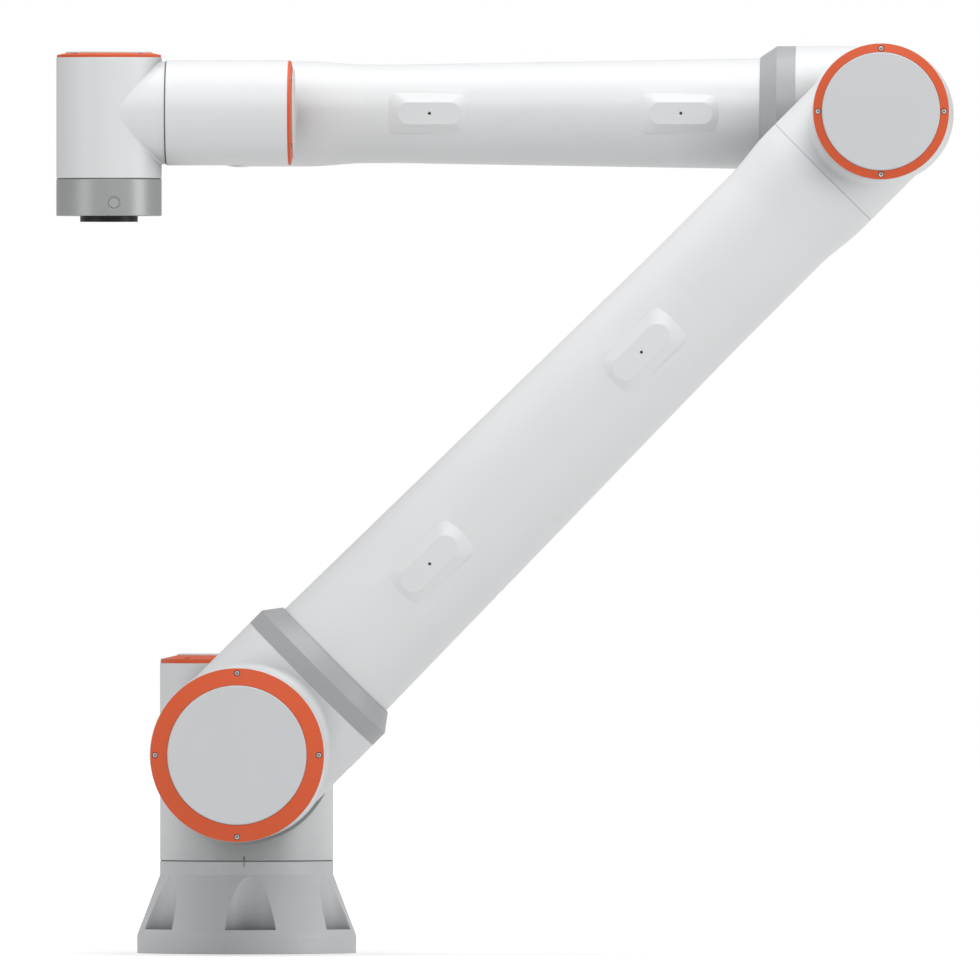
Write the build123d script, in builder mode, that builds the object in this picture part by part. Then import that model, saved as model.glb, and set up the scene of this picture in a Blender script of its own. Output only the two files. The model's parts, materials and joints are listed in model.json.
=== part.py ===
from build123d import *
import os
from dataclasses import dataclass
from math import cos, radians, sin

# Six-axis collaborative robot arm in its working pose, in millimetres with +Z up.
# The origin is the centre of the base's bottom face, on the axis of the first joint.
# Seen from the front, along +Y, the upper arm leans to the right, the forearm runs back to
# the left above it, and the tool points down. The joints are numbered from the base.

# Layout of the joint axes
shoulder_height = 219.0  # axis of joint 2 above the floor
upper_arm_length = 990.0  # axis of joint 2 to axis of joint 3
forearm_length = 708.0  # axis of joint 3 to axis of joint 4
upper_arm_tilt = 45.0  # upper arm above the horizontal, in degrees
tool_drop = 119.0  # axis of joint 5 to the tool face

# Lands: how far a branch or a barrel runs on past the outline of the one that it crosses
shoulder_land = 9.0  # from the barrel of joint 1 to the seam of joint 2
upper_arm_land = 9.0  # from the upper arm to the seam of joint 2
elbow_land = 7.6  # from the upper arm to the seam of joint 3
forearm_land = 3.6  # from the forearm to the seam of joint 3
forearm_end_land = 8.0  # from the forearm to the seam of joint 4
wrist_1_land = 8.5  # from the barrel of joint 5 to the seam of joint 4
wrist_1_side_land = 17.0  # from the branch of wrist 1 to the seam of joint 5
wrist_2_land = 5.0  # from the barrel of joint 6 to the seam of joint 5
wrist_2_side_land = 14.5  # from the branch of wrist 2 to the seam of joint 6

# Barrels: the housings round the drives, each measured from its joint's seam to its cover
seam_height = 101.3  # seam of joint 1 above the floor
barrel_1_land = 3.6  # past the outline of the branch that carries joint 2
barrel_2_length = 244.0
barrel_3_length = 204.0
barrel_4_length = 141.0
barrel_5_land = 1.5  # past the outline of the branch, as on joint 6
barrel_6_land = 2.8
large_shell = 95.0  # outside radius of the barrels of joints 1 and 2
medium_shell = 74.4  # joint 3 and the forearm's elbow housing
forearm_end_shell = 58.0  # joint 4
small_shell = 57.5  # joints 5 and 6
large_wall = 7.0
medium_wall = 6.0
small_wall = 6.0
seam_gap = 0.8  # between two housings that turn against each other
large_end_plate = 12.0  # wall that the next joint's output hub is bolted to
small_end_plate = 8.0
cover_ledge = 9.0  # inward ledge under the covers
housing_edge = 0.5  # small chamfer round the ends of the housings
large_crease = 10.0  # rounding where a branch leaves a large or medium barrel
forearm_crease = 9.0
wrist_crease = 2.0
crease_reach = 1.5  # in shell radii, from where the two axes cross
crease_step = 0.4  # a branch is this much slimmer than its barrel
wrist_crease_step = 1.5

# Base casting
base_radius = 120.0
base_rim = 20.0  # straight rim of the flange
base_cone_top = 86.0
pocket_radius = 30.0  # scallop that makes room for a bolt and its key
pocket_floor = 26.3
bolt_count = 6
bolt_circle_inset = 12.0  # from the base's edge to the bolt circle
bolt_hole_radius = 5.5
pattern_turn = 3.7  # first pocket, to the right of straight ahead, in degrees
chamber_radius = 45.0  # cable chamber inside the base
chamber_height = 84.0
zero_mark_width = 1.6
zero_mark_height = 5.0
zero_mark_depth = 0.6
base_edge = 2.0  # bevel between the rim and the cone

# Upper arm, along its own axis from the axis of joint 2
shoulder_flange_proud = 4.0  # flange on the shoulder's branch, proud of the barrels
shoulder_branch_step = 2.0  # the branch is this much slimmer than the barrels
shoulder_flange = 7.0
shoulder_flare = 10.0
lower_branch_reach = 14.0  # beyond the barrel's outline
collar_length = 18.5
collar_taper = 18.0
collar_end_radius = 81.0
upper_tube_root = 78.2
upper_tube_waist = 69.3
upper_waist_run = 125.0  # straight part between the taper and the flare
upper_flare_start = 165.0  # back from the axis of joint 3
upper_flare_end = 106.0  # back from the axis of joint 3
elbow_branch_reach = 17.6  # beyond the barrel's outline, to the seam with the tube
tube_wall = 6.0
spigot_step = 6.0  # tube's shoulder against the collar
upper_pad_low = 294.0  # from the axis of joint 2 to the middle of the pad
upper_pad_high = 370.0  # from the middle of the pad to the axis of joint 3
upper_pad_top = (76.0, 27.0)  # flat top, length and width
upper_pad_foot = (120.0, 50.0)
pad_proud = 3.0  # pad above the tube's own line
pad_depth = 7.3
pad_hole_radius = 1.65
pad_hole_depth = 6.0

# Forearm, along its own axis from the axis of joint 3
forearm_branch_reach = 22.6  # beyond the barrel's outline
forearm_collar_length = 20.7
forearm_collar_end_radius = 62.0
forearm_tube_root = 60.7
forearm_tube_waist = 54.0
forearm_waist_run = 38.0
forearm_flare_start = 140.0  # back from the axis of joint 4
forearm_flare_end = 78.0  # back from the axis of joint 4
forearm_pad_near = 222.0  # from the axis of joint 3 to the middle of the pad
forearm_pad_far = 211.0  # from the middle of the pad to the axis of joint 4
forearm_pad_top = (69.0, 24.0)
forearm_pad_foot = (112.0, 44.0)
elbow_back_reach = 78.0  # middle of the forearm to the closed back of its elbow housing
elbow_back_wall = 8.0

# Covers and their screws
large_ring_width = 18.4
medium_ring_width = 9.3
small_ring_width = 9.4
ring_inset = 0.6  # cover ring inside the barrel's outline
large_ring_rim = 4.4
large_ring_rise = 8.8
medium_ring_rim = 3.6
medium_ring_rise = 6.4
small_ring_rim = 2.8
small_ring_rise = 4.9
disc_proud = 1.6  # cover disc above the ring's inner edge
disc_edge = 1.0
disc_skin = 4.0
disc_seat = 3.0  # width of the ledge that the disc rests on
cover_clearance = 0.25
cover_screw_inset = 5.4  # screw circle inside the ring's outer edge
cover_screw_count = 4
screw_shank = 1.5
screw_head = 2.75
screw_head_height = 2.0
screw_socket = 1.25
screw_socket_depth = 1.2
screw_length = 7.0
head_seat = 1.7  # ring's metal under the screw head
head_clearance = 0.55

# Tool end
tool_ring_height = 40.6
tool_ring_wall = 6.0
tool_flange_radius = 31.5
tool_flange_shoulder = 40.0  # wider part behind the ring's floor
tool_flange_plate = 4.0
tool_pilot_radius = 15.75
tool_pilot_depth = 6.0
tool_bolt_circle = 25.0  # radius
tool_bolt_count = 4
tool_bolt_turn = 0.0
tool_bolt_radius = 2.5
tool_bolt_depth = 9.0
tool_dowel_radius = 3.0
tool_dowel_depth = 6.0
tool_dowel_turn = 45.0
button_azimuth = 7.3  # to the right of straight ahead, in degrees
button_drop = 26.6  # below the seam of joint 6
button_radius = 5.5
button_clearance = 0.3
button_dish_radius = 7.2
button_dish_depth = 1.0
button_collar_radius = 6.8
button_collar_length = 2.0
button_collar_gap = 0.8
button_rest_depth = 0.5  # button's face below the ring's surface
tool_socket_radius = 5.2
tool_socket_collar = 7.5
tool_socket_collar_length = 2.5
tool_socket_length = 6.0
tool_socket_dish = 1.2  # flat sunk into the ring under the collar
tool_socket_tail = 4.0
base_socket_turn = 150.0  # from the first pocket to the land that carries the socket
base_socket_height = 50.0
base_socket_radius = 14.0
base_socket_collar = 19.0
base_socket_collar_length = 3.0
base_socket_length = 9.0
base_socket_body = 20.0  # behind the boss's face
socket_boss_radius = 22.0
socket_boss_inset = 6.0  # from the base's edge to the land's flat face

# Fits
fit = 0.05  # pieces of one link that slip into each other
running = 0.4  # round pieces that turn inside each other

# Drive details that every size shares
cup_skin = 2.0
hub_clearance = 2.0
shaft_gap = 2.0  # between the rotor's shaft and the output hub
air_gap = 0.8

shoulder_branch_radius = large_shell + shoulder_flange_proud
shoulder_branch_root = large_shell - shoulder_branch_step
shoulder_reach = large_shell + shoulder_land
upper_arm_setback = large_shell + upper_arm_land
elbow_reach = medium_shell + elbow_land
forearm_setback = medium_shell + forearm_land
forearm_end_reach = forearm_end_shell + forearm_end_land
wrist_setback = small_shell + wrist_1_land
wrist_1_reach = small_shell + wrist_1_side_land
wrist_2_drop = small_shell + wrist_2_side_land
wrist_length = wrist_1_reach + small_shell + wrist_2_land
barrel_1_length = shoulder_height - seam_height + large_shell + barrel_1_land
barrel_5_length = wrist_1_reach + small_shell + barrel_5_land
barrel_6_length = wrist_2_drop + small_shell + barrel_6_land
small_branch_radius = small_shell - wrist_crease_step
quarter_turn = 90.0
half_gap = seam_gap / 2
tilt = radians(upper_arm_tilt)
upper_arm_direction = Vector(cos(tilt), 0, sin(tilt))
upper_arm_depth = -(shoulder_reach + upper_arm_setback)
elbow_depth = upper_arm_depth + elbow_reach
forearm_depth = elbow_depth + forearm_setback
wrist_seam_depth = forearm_depth - forearm_end_reach
wrist_depth = wrist_seam_depth - wrist_setback
elbow = Vector(0, 0, shoulder_height) + upper_arm_direction * upper_arm_length
wrist_x = elbow.X - forearm_length
tool_x = wrist_x - wrist_length
arm_height = elbow.Z


@dataclass(frozen=True)
class Drive:
    """Sizes of the drive inside a barrel, from the joint's seam towards its cover."""

    bore: float  # inside radius of the barrel
    cable_radius: float  # hollow shaft, for the arm's own cables
    shaft_wall: float
    hub_length: float
    bearing_width: float  # radial room that the output bearing takes
    bearing_end: float
    cup_radius: float  # flexible cup of the strain-wave gear
    cup_end: float
    spline_length: float
    motor_start: float
    motor_length: float
    winding_width: float
    magnet_width: float
    brake_start: float
    brake_length: float
    brake_radius: float
    shaft_end: float


large_drive = Drive(
    bore=large_shell - large_wall, cable_radius=18.0, shaft_wall=4.0, hub_length=10.0, bearing_width=20.0,
    bearing_end=30.0, cup_radius=58.0, cup_end=62.0, spline_length=16.0, motor_start=76.0,
    motor_length=58.0, winding_width=18.0, magnet_width=6.0, brake_start=146.0, brake_length=10.0,
    brake_radius=50.0, shaft_end=190.0,
)
medium_drive = Drive(
    bore=medium_shell - medium_wall, cable_radius=14.0, shaft_wall=4.0, hub_length=9.0, bearing_width=16.0,
    bearing_end=26.0, cup_radius=44.0, cup_end=52.0, spline_length=13.0, motor_start=64.0,
    motor_length=48.0, winding_width=15.0, magnet_width=5.0, brake_start=124.0, brake_length=9.0,
    brake_radius=38.0, shaft_end=170.0,
)
small_drive = Drive(
    bore=small_shell - small_wall, cable_radius=10.0, shaft_wall=3.0, hub_length=7.0, bearing_width=12.0,
    bearing_end=19.0, cup_radius=33.0, cup_end=38.0, spline_length=10.0, motor_start=46.0,
    motor_length=34.0, winding_width=12.0, magnet_width=4.0, brake_start=88.0, brake_length=7.0,
    brake_radius=28.0, shaft_end=112.0,
)


@dataclass(frozen=True)
class Joint:
    """One turning joint: its seam, the barrel behind it and the covers on the barrel's end."""

    number: int
    seam: Plane  # middle of the seam, looking along the axis towards the cover
    shell: float
    barrel: float
    drive: Drive
    ring_width: float
    ring_rim: float
    ring_rise: float
    screw_turn: float

    @property
    def seat(self) -> Plane:
        """Plane of the barrel's end, under the covers."""
        return self.seam.offset(self.barrel)

    @property
    def axis(self) -> Axis:
        """Axis that the joint turns about."""
        return Axis(self.seam.origin, self.seam.z_dir)

    @property
    def ring_outside(self) -> float:
        """Outside radius of the cover ring."""
        return self.shell - ring_inset

    @property
    def ring_inside(self) -> float:
        """Inside radius of the cover ring."""
        return self.ring_outside - self.ring_width

    @property
    def window(self) -> float:
        """Radius of the window in the barrel's ledge, which the cover disc closes."""
        return self.ring_inside - disc_seat

    @property
    def screw_circle(self) -> float:
        """Radius that the cover screws stand on."""
        return self.ring_outside - cover_screw_inset


large_ring = (large_ring_width, large_ring_rim, large_ring_rise)
medium_ring = (medium_ring_width, medium_ring_rim, medium_ring_rise)
small_ring = (small_ring_width, small_ring_rim, small_ring_rise)
square_turn = 0.0
diagonal_turn = 45.0
joint_1 = Joint(
    1, Plane((0, 0, seam_height), (1, 0, 0), (0, 0, 1)),
    large_shell, barrel_1_length, large_drive, *large_ring, diagonal_turn,
)
joint_2 = Joint(
    2, Plane((0, -shoulder_reach, shoulder_height), (1, 0, 0), (0, -1, 0)),
    large_shell, barrel_2_length, large_drive, *large_ring, square_turn,
)
joint_3 = Joint(
    3, Plane((elbow.X, elbow_depth, arm_height), (1, 0, 0), (0, -1, 0)),
    medium_shell, barrel_3_length, medium_drive, *medium_ring, square_turn,
)
joint_4 = Joint(
    4, Plane((wrist_x, wrist_seam_depth, arm_height), (1, 0, 0), (0, 1, 0)),
    forearm_end_shell, barrel_4_length, small_drive, *small_ring, diagonal_turn,
)
joint_5 = Joint(
    5, Plane((wrist_x - wrist_1_reach, wrist_depth, arm_height), (0, 1, 0), (1, 0, 0)),
    small_shell, barrel_5_length, small_drive, *small_ring, diagonal_turn,
)
joint_6 = Joint(
    6, Plane((tool_x, wrist_depth, arm_height - wrist_2_drop), (1, 0, 0), (0, 0, 1)),
    small_shell, barrel_6_length, small_drive, *small_ring, diagonal_turn,
)
joints = (joint_1, joint_2, joint_3, joint_4, joint_5, joint_6)

# Planes that stand square across each link's axis, looking along the link
across_upper_arm = Plane((0, upper_arm_depth, shoulder_height), (0, 1, 0), upper_arm_direction)
across_elbow_end = Plane((elbow.X, upper_arm_depth, arm_height), (0, 1, 0), upper_arm_direction * -1)
across_forearm = Plane((elbow.X, forearm_depth, arm_height), (0, 1, 0), (-1, 0, 0))
across_shoulder = Plane((0, 0, shoulder_height), (1, 0, 0), (0, -1, 0))
across_wrist_1 = Plane((wrist_x, wrist_depth, arm_height), (1, 0, 0), (0, 1, 0))
across_wrist_2 = Plane((tool_x, wrist_depth, arm_height), (0, 1, 0), (1, 0, 0))


def half_section(plane: Plane) -> Plane:
    """Plane for a half section: x is the radius and y the height along the given plane's axis."""
    return Plane(plane.origin, plane.x_dir, plane.x_dir.cross(plane.z_dir))


def turn(plane: Plane, *corners: tuple[float, float], mode: Mode = Mode.ADD) -> None:
    """Turn a half section, given as (radius, height) corners, about the plane's axis."""
    with BuildSketch(half_section(plane)) as section:
        with BuildLine():
            Polyline(*corners, close=True)
        make_face()
    revolve(section.sketch, axis=Axis(plane.origin, plane.z_dir), mode=mode)


def rod(plane: Plane, radius: float, start: float, end: float, mode: Mode = Mode.ADD) -> None:
    """Add or cut a round rod along the plane's axis, between two heights."""
    with BuildSketch(plane.offset(start)) as disc:
        Circle(radius)
    extrude(disc.sketch, amount=end - start, mode=mode)


def housing(plane: Plane, radius: float, start: float, end: float) -> None:
    """Add a round housing along the plane's axis, with a small chamfer round each end."""
    turn(
        plane, (0, start), (radius - housing_edge, start), (radius, start + housing_edge),
        (radius, end - housing_edge), (radius - housing_edge, end), (0, end),
    )


def save(piece: BuildPart, name: str) -> None:
    """Label a finished piece and write its file."""
    piece.part.label = name
    export_step(piece.part, f"parts/{name}.step")


def round_crease(piece: BuildPart, centre: Vector, shell: float, size: float) -> None:
    """Round the crease that a branch makes where it leaves a barrel."""
    crease = [e for e in piece.edges() if e.geom_type not in (GeomType.LINE, GeomType.CIRCLE)]
    near = [e for e in crease if (e.center() - centre).length < shell * crease_reach]
    fillet(near, size)


def hollow_barrel(joint: Joint) -> None:
    """Cut a barrel's bore, the window in its ledge and the threaded holes for the cover screws."""
    rod(joint.seam, joint.drive.bore, 0, joint.barrel - cover_ledge, Mode.SUBTRACT)
    rod(joint.seam, joint.window, 0, joint.barrel, Mode.SUBTRACT)
    with BuildSketch(joint.seat) as threads:
        with PolarLocations(joint.screw_circle, cover_screw_count, joint.screw_turn):
            Circle(screw_shank + fit)
    extrude(threads.sketch, amount=-cover_ledge, mode=Mode.SUBTRACT)


def cover_ring(joint: Joint) -> BuildPart:
    """Coloured ring round a joint's cover, crowned towards the disc, with four sunk screw seats."""
    with BuildPart() as ring:
        turn(
            joint.seat, (joint.ring_inside, 0), (joint.ring_outside, 0),
            (joint.ring_outside, joint.ring_rim), (joint.ring_inside, joint.ring_rise),
        )
        with Locations(joint.seat.offset(head_seat)):
            with PolarLocations(joint.screw_circle, cover_screw_count, joint.screw_turn):
                CounterBoreHole(screw_shank + fit, screw_head + head_clearance, 0)
    return ring


def cover_disc(joint: Joint) -> BuildPart:
    """Flat disc in the middle of a joint's cover, with a spigot that centres it in the ledge."""
    top = joint.ring_rise + disc_proud
    edge = joint.ring_inside - cover_clearance
    spigot = joint.window - fit
    with BuildPart() as disc:
        turn(
            joint.seat, (0, top), (edge - disc_edge, top), (edge, top - disc_edge), (edge, 0),
            (spigot, 0), (spigot, -disc_skin), (0, -disc_skin),
        )
    return disc


def cover_screws(name_joints: tuple[Joint, ...]) -> BuildPart:
    """Socket screws that hold one link's cover rings, a separate solid each."""
    with BuildPart() as screws:
        for joint in name_joints:
            with BuildSketch(joint.seat.offset(head_seat)):
                with PolarLocations(joint.screw_circle, cover_screw_count, joint.screw_turn):
                    Circle(screw_shank)
            extrude(amount=-screw_length)
            with BuildSketch(joint.seat.offset(head_seat)):
                with PolarLocations(joint.screw_circle, cover_screw_count, joint.screw_turn):
                    Circle(screw_head)
            extrude(amount=screw_head_height)
            with BuildSketch(joint.seat.offset(head_seat + screw_head_height)):
                with PolarLocations(joint.screw_circle, cover_screw_count, joint.screw_turn):
                    RegularPolygon(screw_socket, 6)
            extrude(amount=-screw_socket_depth, mode=Mode.SUBTRACT)
    return screws


def output_hub(joint: Joint) -> BuildPart:
    """Joint output: flange bolted to the next link, inner ring of the bearing and cup of the gear."""
    drive = joint.drive
    flange = drive.bore - hub_clearance
    flange_back = drive.hub_length - running
    bearing_inside = drive.bore - drive.bearing_width
    cup_inside = drive.cup_radius - cup_skin
    with BuildPart() as hub:
        turn(
            joint.seam, (drive.cable_radius, -half_gap), (flange, -half_gap), (flange, flange_back),
            (bearing_inside, flange_back), (bearing_inside, drive.bearing_end),
            (drive.cup_radius, drive.bearing_end), (drive.cup_radius, drive.cup_end),
            (cup_inside, drive.cup_end), (cup_inside, drive.hub_length),
            (drive.cable_radius, drive.hub_length),
        )
    return hub


def gear_ring(joint: Joint) -> BuildPart:
    """Output bearing's outer ring with the strain-wave gear's rigid spline behind it."""
    drive = joint.drive
    outside = drive.bore - fit
    bearing_inside = drive.bore - drive.bearing_width + running
    spline_inside = drive.cup_radius + running
    spline_start = drive.cup_end - drive.spline_length
    with BuildPart() as ring:
        turn(
            joint.seam, (bearing_inside, drive.hub_length), (outside, drive.hub_length),
            (outside, drive.cup_end), (spline_inside, drive.cup_end),
            (spline_inside, spline_start), (bearing_inside, spline_start),
        )
    return ring


def stator(joint: Joint) -> BuildPart:
    """Ring of windings of a joint's motor, pressed into the barrel."""
    drive = joint.drive
    inside = drive.bore - drive.winding_width
    outside = drive.bore - fit
    motor_end = drive.motor_start + drive.motor_length
    with BuildPart() as windings:
        turn(
            joint.seam, (inside, drive.motor_start), (outside, drive.motor_start),
            (outside, motor_end), (inside, motor_end),
        )
    return windings


def rotor(joint: Joint) -> BuildPart:
    """Hollow shaft that carries the wave generator, the motor's magnets and the brake disc."""
    drive = joint.drive
    shaft_inside = drive.cable_radius
    shaft_outside = drive.cable_radius + drive.shaft_wall
    generator = drive.cup_radius - cup_skin - running
    magnets = drive.bore - drive.winding_width - air_gap
    web = magnets - drive.magnet_width
    shaft_start = drive.hub_length + shaft_gap
    spline_start = drive.cup_end - drive.spline_length
    motor_end = drive.motor_start + drive.motor_length
    web_back = drive.motor_start + drive.magnet_width
    brake_end = drive.brake_start + drive.brake_length
    with BuildPart() as shaft:
        turn(
            joint.seam, (shaft_inside, shaft_start), (shaft_outside, shaft_start),
            (shaft_outside, spline_start), (generator, spline_start),
            (generator, drive.cup_end), (shaft_outside, drive.cup_end),
            (shaft_outside, drive.motor_start), (magnets, drive.motor_start),
            (magnets, motor_end), (web, motor_end), (web, web_back), (shaft_outside, web_back),
            (shaft_outside, drive.brake_start), (drive.brake_radius, drive.brake_start),
            (drive.brake_radius, brake_end), (shaft_outside, brake_end),
            (shaft_outside, drive.shaft_end), (shaft_inside, drive.shaft_end),
        )
    return shaft


def bolted_end(across: Plane, inside: float, length: float, plate: float, cable: float) -> None:
    """Hollow a branch down to the plate that the next joint's output hub is bolted to."""
    rod(across, inside, 0, length - plate, Mode.SUBTRACT)
    rod(across, cable, 0, length, Mode.SUBTRACT)


os.makedirs("parts", exist_ok=True)

# Base
base_top = seam_height - half_gap
base_slope = (base_radius - large_shell) / (base_cone_top - base_rim)
socket_boss_face = base_radius - socket_boss_inset
pocket_circle = large_shell + pocket_radius + running
first_pocket = pattern_turn - quarter_turn
socket_turn = radians(first_pocket + base_socket_turn)
socket_direction = Vector(cos(socket_turn), sin(socket_turn), 0)
across_base_socket = Plane((0, 0, base_socket_height), Vector(0, 0, 1), socket_direction)
with BuildPart() as base_casting:
    turn(
        Plane.XY, (0, 0), (base_radius, 0), (base_radius, base_rim - base_edge),
        (base_radius - base_slope * base_edge, base_rim + base_edge), (large_shell, base_cone_top),
        (large_shell, base_top - housing_edge), (large_shell - housing_edge, base_top), (0, base_top),
    )
    with BuildSketch(Plane.XY.offset(pocket_floor)):
        with PolarLocations(pocket_circle, bolt_count, first_pocket):
            Circle(pocket_radius)
    extrude(amount=seam_height, mode=Mode.SUBTRACT)
    with BuildSketch(Plane.XY):
        with PolarLocations(base_radius - bolt_circle_inset, bolt_count, first_pocket):
            Circle(bolt_hole_radius)
    extrude(amount=pocket_floor, mode=Mode.SUBTRACT)
    rod(across_base_socket, socket_boss_radius, chamber_radius, socket_boss_face)
    rod(across_base_socket, socket_boss_radius, socket_boss_face, base_radius, Mode.SUBTRACT)
    rod(across_base_socket, base_socket_radius + fit, 0, socket_boss_face, Mode.SUBTRACT)
    rod(Plane.XY, chamber_radius, 0, chamber_height, Mode.SUBTRACT)
    rod(Plane.XY, large_drive.cable_radius, 0, seam_height, Mode.SUBTRACT)
    with BuildSketch(Plane.XY.offset(base_top)):
        with Locations((0, -large_shell)):
            Rectangle(zero_mark_width, 2 * zero_mark_depth)
    extrude(amount=-zero_mark_height, mode=Mode.SUBTRACT)
save(base_casting, "base_casting")

socket_back = socket_boss_face - base_socket_body
socket_collar_end = socket_boss_face + base_socket_collar_length
socket_end = socket_collar_end + base_socket_length
with BuildPart() as base_cable_socket:
    turn(
        across_base_socket, (0, socket_back), (base_socket_radius, socket_back),
        (base_socket_radius, socket_boss_face), (base_socket_collar, socket_boss_face),
        (base_socket_collar, socket_collar_end), (base_socket_radius, socket_collar_end),
        (base_socket_radius, socket_end), (0, socket_end),
    )
save(base_cable_socket, "base_cable_socket")

# Shoulder: the barrel of joint 1 with the flanged branch that carries joint 2
flange_face = shoulder_reach - half_gap
flare_start = flange_face - shoulder_flange - shoulder_flare
with BuildPart() as shoulder_housing:
    housing(joint_1.seam, large_shell, half_gap, joint_1.barrel)
    rod(across_shoulder, shoulder_branch_root, 0, flange_face)
    round_crease(shoulder_housing, across_shoulder.origin, large_shell, large_crease)
    turn(
        across_shoulder, (0, flare_start), (shoulder_branch_root, flare_start),
        (shoulder_branch_radius, flange_face - shoulder_flange),
        (shoulder_branch_radius, flange_face - housing_edge),
        (shoulder_branch_radius - housing_edge, flange_face), (0, flange_face),
    )
    hollow_barrel(joint_1)
    branch_inside = shoulder_branch_root - large_wall
    bolted_end(across_shoulder, branch_inside, flange_face, large_end_plate, large_drive.cable_radius)
    with BuildSketch(joint_1.seam.offset(half_gap)):
        with Locations((0, -large_shell)):
            Rectangle(zero_mark_width, 2 * zero_mark_depth)
    extrude(amount=zero_mark_height, mode=Mode.SUBTRACT)
save(shoulder_housing, "shoulder_housing")

# Upper arm
lower_branch_radius = large_shell - crease_step
lower_branch_length = large_shell + lower_branch_reach
with BuildPart() as upper_arm_lower_housing:
    housing(joint_2.seam, large_shell, half_gap, joint_2.barrel)
    rod(across_upper_arm, lower_branch_radius, 0, lower_branch_length)
    round_crease(upper_arm_lower_housing, across_upper_arm.origin, large_shell, large_crease)
    hollow_barrel(joint_2)
    rod(across_upper_arm, lower_branch_radius - large_wall, 0, lower_branch_length, Mode.SUBTRACT)
save(upper_arm_lower_housing, "upper_arm_lower_housing")

upper_spigot = upper_tube_root - spigot_step
upper_collar_end = lower_branch_length + collar_length + collar_taper
with BuildPart() as upper_arm_collar:
    turn(
        across_upper_arm, (upper_spigot, lower_branch_length), (lower_branch_radius, lower_branch_length),
        (lower_branch_radius, lower_branch_length + collar_length),
        (collar_end_radius, upper_collar_end), (upper_spigot, upper_collar_end),
    )
save(upper_arm_collar, "upper_arm_collar")


def pad_faces(across: Plane, places: tuple[float, float], root: tuple, waist: tuple) -> list[Plane]:
    """Planes of the pads' flat tops, just proud of the front of a tube that tapers from root to waist."""
    slope = (waist[0] - root[0]) / (waist[1] - root[1])
    tops = []
    for place in places:
        surface = root[0] + slope * (place - root[1])
        spot = across.origin + across.z_dir * place + Vector(0, -(surface + pad_proud), 0)
        tops.append(Plane(spot, across.z_dir, (0, -1, 0)))
    return tops


def pads(faces: list[Plane], top: tuple, foot: tuple) -> None:
    """Add raised pads, flat on top with sloping sides."""
    for face in faces:
        with BuildSketch(face) as crown:
            SlotOverall(*top)
        with BuildSketch(face.offset(-pad_depth)) as base:
            SlotOverall(*foot)
        loft([crown.sketch, base.sketch], ruled=True)
        extrude(base.sketch, amount=-pad_depth)


def pad_holes(faces: list[Plane]) -> None:
    """Drill the threaded hole in the middle of each pad."""
    with Locations(*faces):
        Hole(pad_hole_radius, pad_hole_depth)


def tube_outline(across: Plane, root: tuple, waist: tuple, flare: tuple, end: float) -> None:
    """Turn a tube that tapers from its root to its waist, then flares and runs on to its end."""
    with BuildSketch(half_section(across)) as outline:
        with BuildLine():
            Line(root, waist[0])
            Line(waist[0], waist[1])
            Spline(waist[1], flare, tangents=((0, 1), (0, 1)))
            Line(flare, (flare[0], end - housing_edge))
            Polyline((flare[0], end - housing_edge), (flare[0] - housing_edge, end), (0, end))
            Polyline((0, end), (0, root[1]), root)
        make_face()
    revolve(outline.sketch, axis=Axis(across.origin, across.z_dir))


elbow_branch_radius = medium_shell - crease_step
elbow_branch_length = medium_shell + elbow_branch_reach
upper_tube_end = upper_arm_length - elbow_branch_length
upper_waist_end = upper_arm_length - upper_flare_start
upper_waist_start = upper_waist_end - upper_waist_run
upper_root = (upper_tube_root, upper_collar_end)
upper_waist = ((upper_tube_waist, upper_waist_start), (upper_tube_waist, upper_waist_end))
upper_flare = (elbow_branch_radius, upper_arm_length - upper_flare_end)
upper_pads = (upper_pad_low, upper_arm_length - upper_pad_high)
upper_pad_faces = pad_faces(across_upper_arm, upper_pads, upper_root, upper_waist[0])
with BuildPart() as upper_arm_tube:
    tube_outline(across_upper_arm, upper_root, upper_waist, upper_flare, upper_tube_end)
    pads(upper_pad_faces, upper_pad_top, upper_pad_foot)
    rod(across_upper_arm, upper_spigot - fit, lower_branch_length, upper_collar_end)
    turn(
        across_upper_arm, (0, lower_branch_length), (upper_spigot - tube_wall, lower_branch_length),
        (upper_tube_waist - tube_wall, upper_waist_start),
        (upper_tube_waist - tube_wall, upper_tube_end),
        (0, upper_tube_end), mode=Mode.SUBTRACT,
    )
    pad_holes(upper_pad_faces)
save(upper_arm_tube, "upper_arm_tube")

with BuildPart() as upper_arm_elbow_housing:
    housing(joint_3.seam, medium_shell, half_gap, joint_3.barrel)
    housing(across_elbow_end, elbow_branch_radius, 0, elbow_branch_length)
    round_crease(upper_arm_elbow_housing, across_elbow_end.origin, medium_shell, large_crease)
    hollow_barrel(joint_3)
    rod(across_elbow_end, elbow_branch_radius - medium_wall, 0, elbow_branch_length, Mode.SUBTRACT)
save(upper_arm_elbow_housing, "upper_arm_elbow_housing")

# Forearm
elbow_back = -(forearm_setback + elbow_back_reach)
forearm_branch_length = medium_shell + forearm_branch_reach
with BuildPart() as forearm_elbow_housing:
    housing(joint_3.seam, medium_shell, elbow_back, -half_gap)
    rod(across_forearm, elbow_branch_radius, 0, forearm_branch_length)
    round_crease(forearm_elbow_housing, across_forearm.origin, medium_shell, large_crease)
    rod(
        joint_3.seam, medium_shell - medium_wall, elbow_back + elbow_back_wall,
        -half_gap - large_end_plate, Mode.SUBTRACT,
    )
    rod(across_forearm, elbow_branch_radius - medium_wall, 0, forearm_branch_length, Mode.SUBTRACT)
    rod(joint_3.seam, medium_drive.cable_radius, -forearm_setback, 0, Mode.SUBTRACT)
save(forearm_elbow_housing, "forearm_elbow_housing")

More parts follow.
